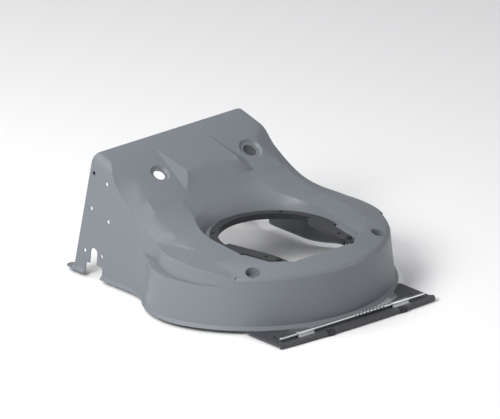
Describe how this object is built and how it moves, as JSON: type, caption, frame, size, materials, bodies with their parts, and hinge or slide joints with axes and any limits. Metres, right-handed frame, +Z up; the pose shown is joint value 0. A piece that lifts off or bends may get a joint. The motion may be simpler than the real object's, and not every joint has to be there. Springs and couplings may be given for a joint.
{
  "type": "lawn mower deck",
  "caption": "Stamped steel mower deck shell with a round skirt, sunk engine well, sloping rear hood and discharge opening, an engine ring and a sprung hinge rod on a front plate.",
  "frame": {"origin": "bottom centre of the bounding box, on the ground under the deck", "axes": "X across the deck, -Y towards the front of the mower, +Z up along the crankshaft"},
  "size_m": [0.5536, 0.6138, 0.2469],
  "materials": {
    "deck_paint": "satin powder coat",
    "ring_coat": "satin electrocoat",
    "plate_coat": "satin electrocoat",
    "zinc": "zinc plated",
    "spring_steel": "bright drawn wire",
    "clip_black": "black oxide"
  },
  "bodies": {
    "root": {"deck_shell": "deck_paint", "engine_ring": "ring_coat", "front_plate": "plate_coat", "hook_left": "zinc", "hook_right": "zinc", "hinge_rod": "zinc", "rod_spring": "spring_steel", "plate_tab_left": "clip_black", "plate_tab_right": "clip_black"}
  },
  "joints": []
}
